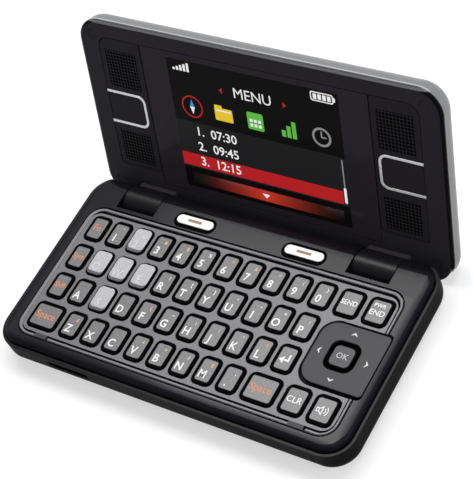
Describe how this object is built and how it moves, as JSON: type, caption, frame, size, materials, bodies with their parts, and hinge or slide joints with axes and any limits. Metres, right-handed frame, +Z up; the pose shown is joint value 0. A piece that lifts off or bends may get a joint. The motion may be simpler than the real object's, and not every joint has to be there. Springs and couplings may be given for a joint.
{
  "type": "clamshell messaging phone",
  "caption": "Wide clamshell messaging phone, open: a full letter keyboard with a navigation pad in the base, and a colour display between two loudspeaker grilles in the hinged lid.",
  "frame": {"origin": "centre of the flat underside of the keyboard base", "axes": "+X to the right along the key rows, +Y from the front edge to the hinge, +Z up out of the keyboard"},
  "size_m": [0.1016, 0.076, 0.0489],
  "materials": {
    "deck_charcoal": "soft-touch charcoal paint with a faint sheen",
    "tray_black": "fine-textured black plastic",
    "plate_grey": "fine speckled mid grey",
    "key_grey": "speckled grey caps on black skirts with white and orange legends",
    "soft_white": "pearl white caps",
    "rubber_black": "matt",
    "board_green": "fibreglass board with solder mask",
    "battery_can": "wrapped can",
    "steel": "plain",
    "small_parts": "plain",
    "antenna_brass": "plain",
    "frame_black": "near-black satin",
    "cover_silver": "silver-grey metallic paint",
    "dark_glass": "polished, tinted black",
    "display_panel": "lit colour panel with a plain menu",
    "grille_black": "finely perforated",
    "trim_chrome": "polished"
  },
  "bodies": {
    "base": {"base_top_housing": "deck_charcoal", "base_bottom_housing": "tray_black", "keypad_plate": "plate_grey", "keypad_mat": "rubber_black", "keypad_board": "board_green", "main_board": "board_green", "battery_pack": "battery_can", "base_screws": "steel", "charge_port": "steel", "vibration_motor": "steel", "microphone": "small_parts", "antenna": "antenna_brass", "camera_module": "small_parts", "camera_window": "dark_glass", "hinge_pins": "steel", "hinge_cartridge": "steel"},
    "battery_cover": {"battery_cover": "tray_black"},
    "lid": {"lid_inner_housing": "frame_black", "lid_outer_cover": "cover_silver", "display_window": "dark_glass", "display_module": "display_panel", "speaker_grilles": "grille_black", "grille_trims": "trim_chrome", "speaker_drivers": "small_parts", "lid_screws": "steel", "outer_window": "dark_glass"},
    "key_fn": {"key_fn": "key_grey"},
    "key_sym": {"key_sym": "key_grey"},
    "key_shift": {"key_shift": "key_grey"},
    "key_space_left": {"key_space_left": "key_grey"},
    "key_enter": {"key_enter": "key_grey"},
    "key_space_right": {"key_space_right": "key_grey"},
    "key_send": {"key_send": "key_grey"},
    "key_end": {"key_end": "key_grey"},
    "key_clear": {"key_clear": "key_grey"},
    "key_speaker": {"key_speaker": "key_grey"},
    "key_l": {"key_l": "key_grey"},
    "keys_1_2": {"keys_1_2": "key_grey"},
    "keys_3_4": {"keys_3_4": "key_grey"},
    "keys_5_6": {"keys_5_6": "key_grey"},
    "keys_7_8": {"keys_7_8": "key_grey"},
    "keys_9_0": {"keys_9_0": "key_grey"},
    "keys_q_w": {"keys_q_w": "key_grey"},
    "keys_e_r": {"keys_e_r": "key_grey"},
    "keys_t_y": {"keys_t_y": "key_grey"},
    "keys_u_i": {"keys_u_i": "key_grey"},
    "keys_o_p": {"keys_o_p": "key_grey"},
    "keys_a_s": {"keys_a_s": "key_grey"},
    "keys_d_f": {"keys_d_f": "key_grey"},
    "keys_g_h": {"keys_g_h": "key_grey"},
    "keys_j_k": {"keys_j_k": "key_grey"},
    "keys_z_x": {"keys_z_x": "key_grey"},
    "keys_c_v": {"keys_c_v": "key_grey"},
    "keys_b_n": {"keys_b_n": "key_grey"},
    "keys_m_stop": {"keys_m_stop": "key_grey"},
    "ok_button": {"ok_button": "deck_charcoal"},
    "soft_key_left": {"soft_key_left": "soft_white"},
    "soft_key_right": {"soft_key_right": "soft_white"},
    "dpad_carrier": {"dpad_carrier": "rubber_black"},
    "dpad": {"dpad": "deck_charcoal"}
  },
  "joints": [
    {"name": "lid_hinge", "type": "hinge", "parent": "base", "child": "lid", "pos_m": [0, 0.02248, 0.0044], "axis": [-1, 0, 0], "range_deg": [-110, 0]},
    {"name": "battery_cover_slide", "type": "slide", "parent": "base", "child": "battery_cover", "axis": [0, -1, 0], "range_m": [0, 0.006]},
    {"name": "key_fn_press", "type": "slide", "parent": "base", "child": "key_fn", "axis": [0, 0, -1], "range_m": [0, 0.0004], "stiffness_N_per_m": 3000},
    {"name": "key_sym_press", "type": "slide", "parent": "base", "child": "key_sym", "axis": [0, 0, -1], "range_m": [0, 0.0004], "stiffness_N_per_m": 3000},
    {"name": "key_shift_press", "type": "slide", "parent": "base", "child": "key_shift", "axis": [0, 0, -1], "range_m": [0, 0.0004], "stiffness_N_per_m": 3000},
    {"name": "key_space_left_press", "type": "slide", "parent": "base", "child": "key_space_left", "axis": [0, 0, -1], "range_m": [0, 0.0004], "stiffness_N_per_m": 3000},
    {"name": "key_enter_press", "type": "slide", "parent": "base", "child": "key_enter", "axis": [0, 0, -1], "range_m": [0, 0.0004], "stiffness_N_per_m": 3000},
    {"name": "key_space_right_press", "type": "slide", "parent": "base", "child": "key_space_right", "axis": [0, 0, -1], "range_m": [0, 0.0004], "stiffness_N_per_m": 3000},
    {"name": "key_send_press", "type": "slide", "parent": "base", "child": "key_send", "axis": [0, 0, -1], "range_m": [0, 0.0004], "stiffness_N_per_m": 3000},
    {"name": "key_end_press", "type": "slide", "parent": "base", "child": "key_end", "axis": [0, 0, -1], "range_m": [0, 0.0004], "stiffness_N_per_m": 3000},
    {"name": "key_clear_press", "type": "slide", "parent": "base", "child": "key_clear", "axis": [0, 0, -1], "range_m": [0, 0.0004], "stiffness_N_per_m": 3000},
    {"name": "key_speaker_press", "type": "slide", "parent": "base", "child": "key_speaker", "axis": [0, 0, -1], "range_m": [0, 0.0004], "stiffness_N_per_m": 3000},
    {"name": "key_l_press", "type": "slide", "parent": "base", "child": "key_l", "axis": [0, 0, -1], "range_m": [0, 0.0004], "stiffness_N_per_m": 3000},
    {"name": "keys_1_2_press", "type": "slide", "parent": "base", "child": "keys_1_2", "axis": [0, 0, -1], "range_m": [0, 0.0004], "stiffness_N_per_m": 3000},
    {"name": "keys_3_4_press", "type": "slide", "parent": "base", "child": "keys_3_4", "axis": [0, 0, -1], "range_m": [0, 0.0004], "stiffness_N_per_m": 3000},
    {"name": "keys_5_6_press", "type": "slide", "parent": "base", "child": "keys_5_6", "axis": [0, 0, -1], "range_m": [0, 0.0004], "stiffness_N_per_m": 3000},
    {"name": "keys_7_8_press", "type": "slide", "parent": "base", "child": "keys_7_8", "axis": [0, 0, -1], "range_m": [0, 0.0004], "stiffness_N_per_m": 3000},
    {"name": "keys_9_0_press", "type": "slide", "parent": "base", "child": "keys_9_0", "axis": [0, 0, -1], "range_m": [0, 0.0004], "stiffness_N_per_m": 3000},
    {"name": "keys_q_w_press", "type": "slide", "parent": "base", "child": "keys_q_w", "axis": [0, 0, -1], "range_m": [0, 0.0004], "stiffness_N_per_m": 3000},
    {"name": "keys_e_r_press", "type": "slide", "parent": "base", "child": "keys_e_r", "axis": [0, 0, -1], "range_m": [0, 0.0004], "stiffness_N_per_m": 3000},
    {"name": "keys_t_y_press", "type": "slide", "parent": "base", "child": "keys_t_y", "axis": [0, 0, -1], "range_m": [0, 0.0004], "stiffness_N_per_m": 3000},
    {"name": "keys_u_i_press", "type": "slide", "parent": "base", "child": "keys_u_i", "axis": [0, 0, -1], "range_m": [0, 0.0004], "stiffness_N_per_m": 3000},
    {"name": "keys_o_p_press", "type": "slide", "parent": "base", "child": "keys_o_p", "axis": [0, 0, -1], "range_m": [0, 0.0004], "stiffness_N_per_m": 3000},
    {"name": "keys_a_s_press", "type": "slide", "parent": "base", "child": "keys_a_s", "axis": [0, 0, -1], "range_m": [0, 0.0004], "stiffness_N_per_m": 3000},
    {"name": "keys_d_f_press", "type": "slide", "parent": "base", "child": "keys_d_f", "axis": [0, 0, -1], "range_m": [0, 0.0004], "stiffness_N_per_m": 3000},
    {"name": "keys_g_h_press", "type": "slide", "parent": "base", "child": "keys_g_h", "axis": [0, 0, -1], "range_m": [0, 0.0004], "stiffness_N_per_m": 3000},
    {"name": "keys_j_k_press", "type": "slide", "parent": "base", "child": "keys_j_k", "axis": [0, 0, -1], "range_m": [0, 0.0004], "stiffness_N_per_m": 3000},
    {"name": "keys_z_x_press", "type": "slide", "parent": "base", "child": "keys_z_x", "axis": [0, 0, -1], "range_m": [0, 0.0004], "stiffness_N_per_m": 3000},
    {"name": "keys_c_v_press", "type": "slide", "parent": "base", "child": "keys_c_v", "axis": [0, 0, -1], "range_m": [0, 0.0004], "stiffness_N_per_m": 3000},
    {"name": "keys_b_n_press", "type": "slide", "parent": "base", "child": "keys_b_n", "axis": [0, 0, -1], "range_m": [0, 0.0004], "stiffness_N_per_m": 3000},
    {"name": "keys_m_stop_press", "type": "slide", "parent": "base", "child": "keys_m_stop", "axis": [0, 0, -1], "range_m": [0, 0.0004], "stiffness_N_per_m": 3000},
    {"name": "ok_button_press", "type": "slide", "parent": "base", "child": "ok_button", "axis": [0, 0, -1], "range_m": [0, 0.0004], "stiffness_N_per_m": 3000},
    {"name": "soft_key_left_press", "type": "slide", "parent": "base", "child": "soft_key_left", "axis": [0, 0, -1], "range_m": [0, 0.0004], "stiffness_N_per_m": 3000},
    {"name": "soft_key_right_press", "type": "slide", "parent": "base", "child": "soft_key_right", "axis": [0, 0, -1], "range_m": [0, 0.0004], "stiffness_N_per_m": 3000},
    {"name": "dpad_tilt_sideways", "type": "hinge", "parent": "base", "child": "dpad_carrier", "pos_m": [0.0383, -0.00335, 0.0068], "axis": [0, 1, 0], "range_deg": [-1.5, 1.5], "stiffness_Nm_per_rad": 0.3},
    {"name": "dpad_tilt_lengthways", "type": "hinge", "parent": "dpad_carrier", "child": "dpad", "pos_m": [0.0383, -0.00335, 0.00795], "axis": [1, 0, 0], "range_deg": [-1.5, 1.5], "stiffness_Nm_per_rad": 0.3}
  ]
}
